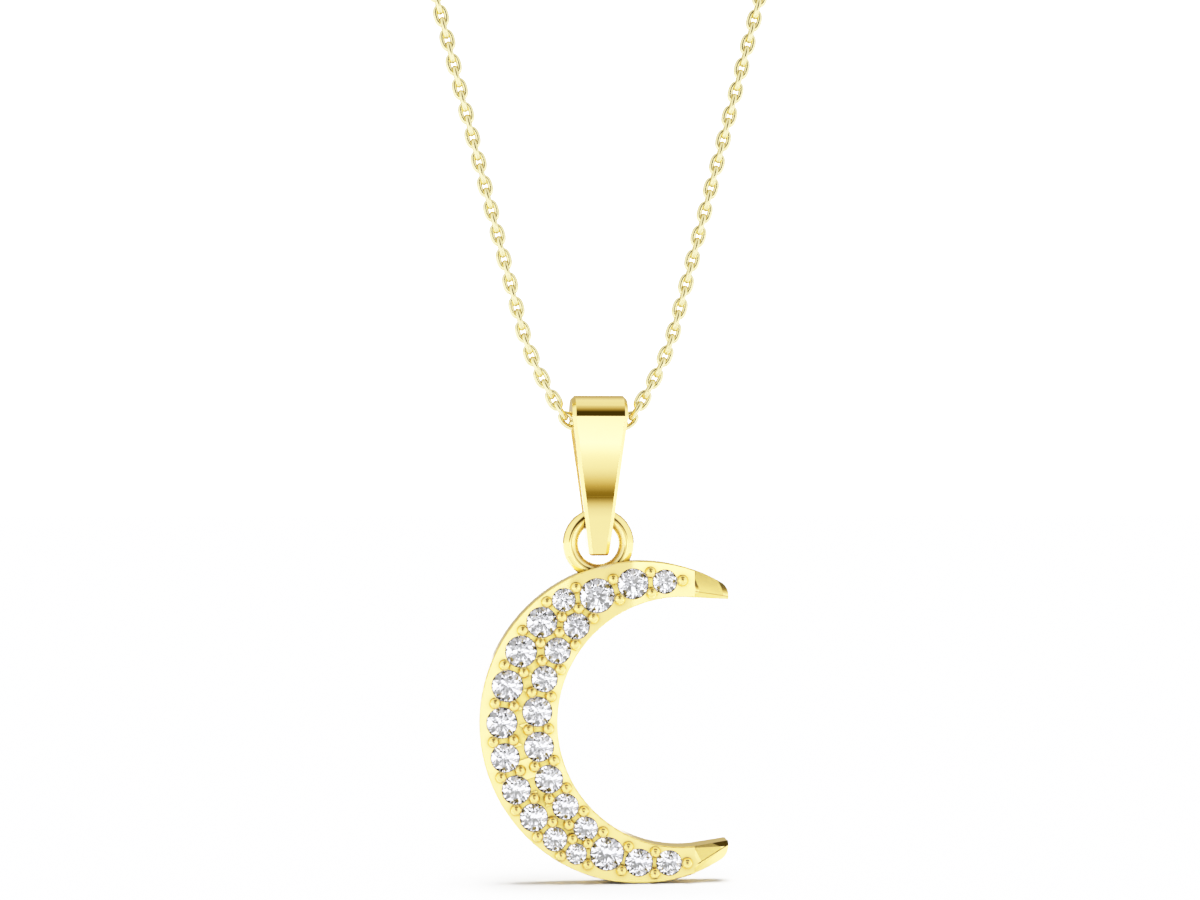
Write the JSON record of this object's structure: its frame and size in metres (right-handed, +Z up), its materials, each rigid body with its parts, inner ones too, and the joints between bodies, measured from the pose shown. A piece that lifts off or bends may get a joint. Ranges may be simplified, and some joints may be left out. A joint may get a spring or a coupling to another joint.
{
  "type": "pendant_necklace",
  "caption": "Crescent moon pendant set with round brilliants, hung by a soldered ring from a tapered bail on a fine gold cable chain with a spring-ring clasp",
  "frame": {"origin": "middle of the clasp, where the chain lies on the nape", "axes": "+X right of someone who looks at the front, +Y from the front to the nape, +Z up"},
  "size_m": [0.1074, 0.0933, 0.1613],
  "materials": {
    "gold_cast": "polished cast yellow gold",
    "gold_polished": "mirror-polished yellow gold",
    "gold_chain": "polished yellow gold wire",
    "diamond": "clear, brilliant cut"
  },
  "bodies": {
    "chain": {"chain_left": "gold_chain", "chain_right": "gold_chain", "clasp": "gold_polished"},
    "bail": {"bail": "gold_polished"},
    "crescent": {"crescent": "gold_cast", "stone_01": "diamond", "stone_02": "diamond", "stone_03": "diamond", "stone_04": "diamond", "stone_05": "diamond", "stone_06": "diamond", "stone_07": "diamond", "stone_08": "diamond", "stone_09": "diamond", "stone_10": "diamond", "stone_11": "diamond", "stone_12": "diamond", "stone_13": "diamond", "stone_14": "diamond", "stone_15": "diamond", "stone_16": "diamond", "stone_17": "diamond", "stone_18": "diamond", "stone_19": "diamond", "stone_20": "diamond", "stone_21": "diamond", "stone_22": "diamond", "stone_23": "diamond", "stone_24": "diamond"}
  },
  "joints": [
    {"name": "bail_swing", "type": "hinge", "parent": "chain", "child": "bail", "pos_m": [0, -0.091, -0.132], "axis": [1, 0, 0], "range_deg": [-60, 60]},
    {"name": "crescent_swing", "type": "hinge", "parent": "bail", "child": "crescent", "pos_m": [0, -0.091, -0.13706], "axis": [1, 0, 0], "range_deg": [-45, 45]}
  ]
}
